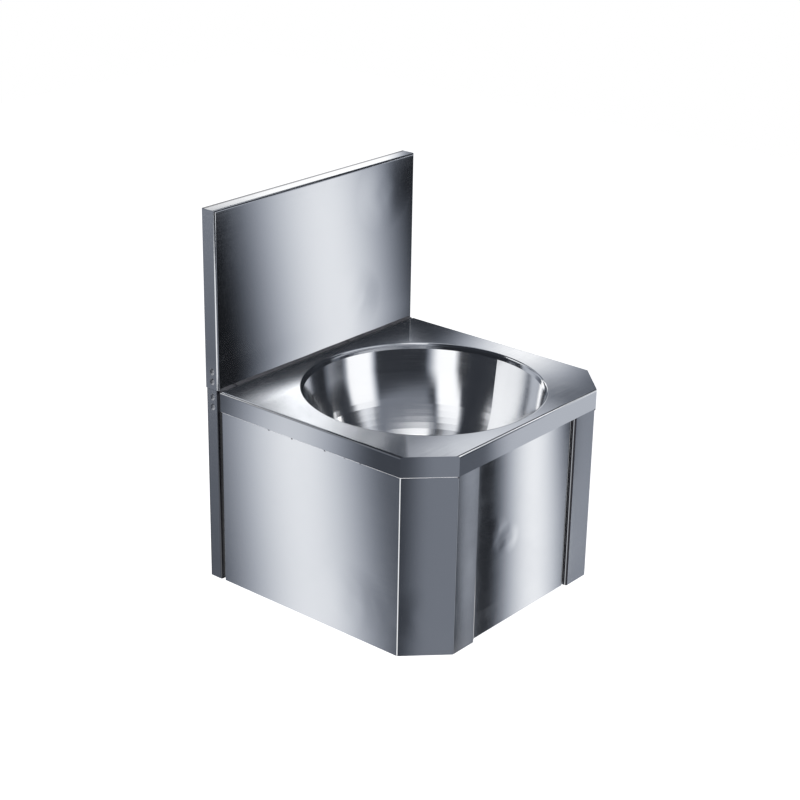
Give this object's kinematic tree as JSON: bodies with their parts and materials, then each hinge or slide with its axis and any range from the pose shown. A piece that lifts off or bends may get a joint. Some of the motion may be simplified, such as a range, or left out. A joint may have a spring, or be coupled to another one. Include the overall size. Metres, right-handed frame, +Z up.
{
  "type": "hand wash sink",
  "caption": "Wall-hung stainless steel hand wash sink: round bowl, tall splashback, cut front corners, and a knee panel that pushes a self-closing valve.",
  "frame": {"origin": "on the wall face, on the centre line, at the bottom edge of the wall frame", "axes": "+X to the right seen from the front, +Y into the wall, +Z up; the sink stands out towards -Y"},
  "size_m": [0.403, 0.39, 0.53],
  "materials": {
    "satin_steel": "satin brushed",
    "bright_steel": "polished",
    "fastener_steel": "bright",
    "plated_brass": "plated",
    "black_rubber": "matt",
    "white_nylon": "matt",
    "waste_plastic": "satin",
    "clear_sealant": "satin"
  },
  "bodies": {
    "casing": {"splashback_tray": "satin_steel", "wall_frame": "satin_steel", "joining_plate_left": "satin_steel", "joining_plate_right": "satin_steel", "rivets_left": "fastener_steel", "rivets_right": "fastener_steel", "deck": "satin_steel", "bowl": "bright_steel", "side_panel_left": "satin_steel", "side_panel_right": "satin_steel", "rear_gasket": "black_rubber", "deck_seal": "clear_sealant", "casing_screws_left": "fastener_steel", "casing_screws_right": "fastener_steel", "blind_nuts_left": "fastener_steel", "blind_nuts_right": "fastener_steel", "lip_screws": "fastener_steel", "lip_nuts": "fastener_steel", "hinge_pin_left": "fastener_steel", "hinge_pin_right": "fastener_steel", "hinge_clip_left": "fastener_steel", "hinge_clip_right": "fastener_steel", "stop_buffer_left": "black_rubber", "stop_buffer_right": "black_rubber", "valve_rail": "satin_steel", "valve_body": "plated_brass", "valve_lock_nut": "plated_brass", "valve_bonnet": "plated_brass", "rod_seal": "black_rubber", "valve_spring": "fastener_steel", "valve_end_plug": "plated_brass", "inlet_strainers": "fastener_steel", "waste_flange": "bright_steel", "waste_top_gasket": "black_rubber", "waste_low_gasket": "black_rubber", "waste_body": "waste_plastic", "waste_screw": "fastener_steel", "earth_tag": "satin_steel"},
    "knee_flap": {"knee_panel": "satin_steel", "panel_stiffener": "satin_steel", "hinge_bush_left": "white_nylon", "hinge_bush_right": "white_nylon", "striker_screw": "fastener_steel", "striker_nuts": "fastener_steel", "striker_cap": "black_rubber"},
    "push_rod": {"valve_plunger": "fastener_steel", "valve_washer": "black_rubber"}
  },
  "joints": [
    {"name": "knee_panel_hinge", "type": "hinge", "parent": "casing", "child": "knee_flap", "pos_m": [0, -0.375, 0.258], "axis": [1, 0, 0], "range_deg": [0, 3.3]},
    {"name": "push_rod_slide", "type": "slide", "parent": "casing", "child": "push_rod", "axis": [0, 1, 0], "range_m": [0, 0.0116], "stiffness_N_per_m": 1000, "springref_m": -0.01, "deforming": ["valve_spring"]}
  ],
  "couplings": [
    {"joint": "push_rod_slide", "follows": "knee_panel_hinge", "m_per_rad": 0.198}
  ]
}
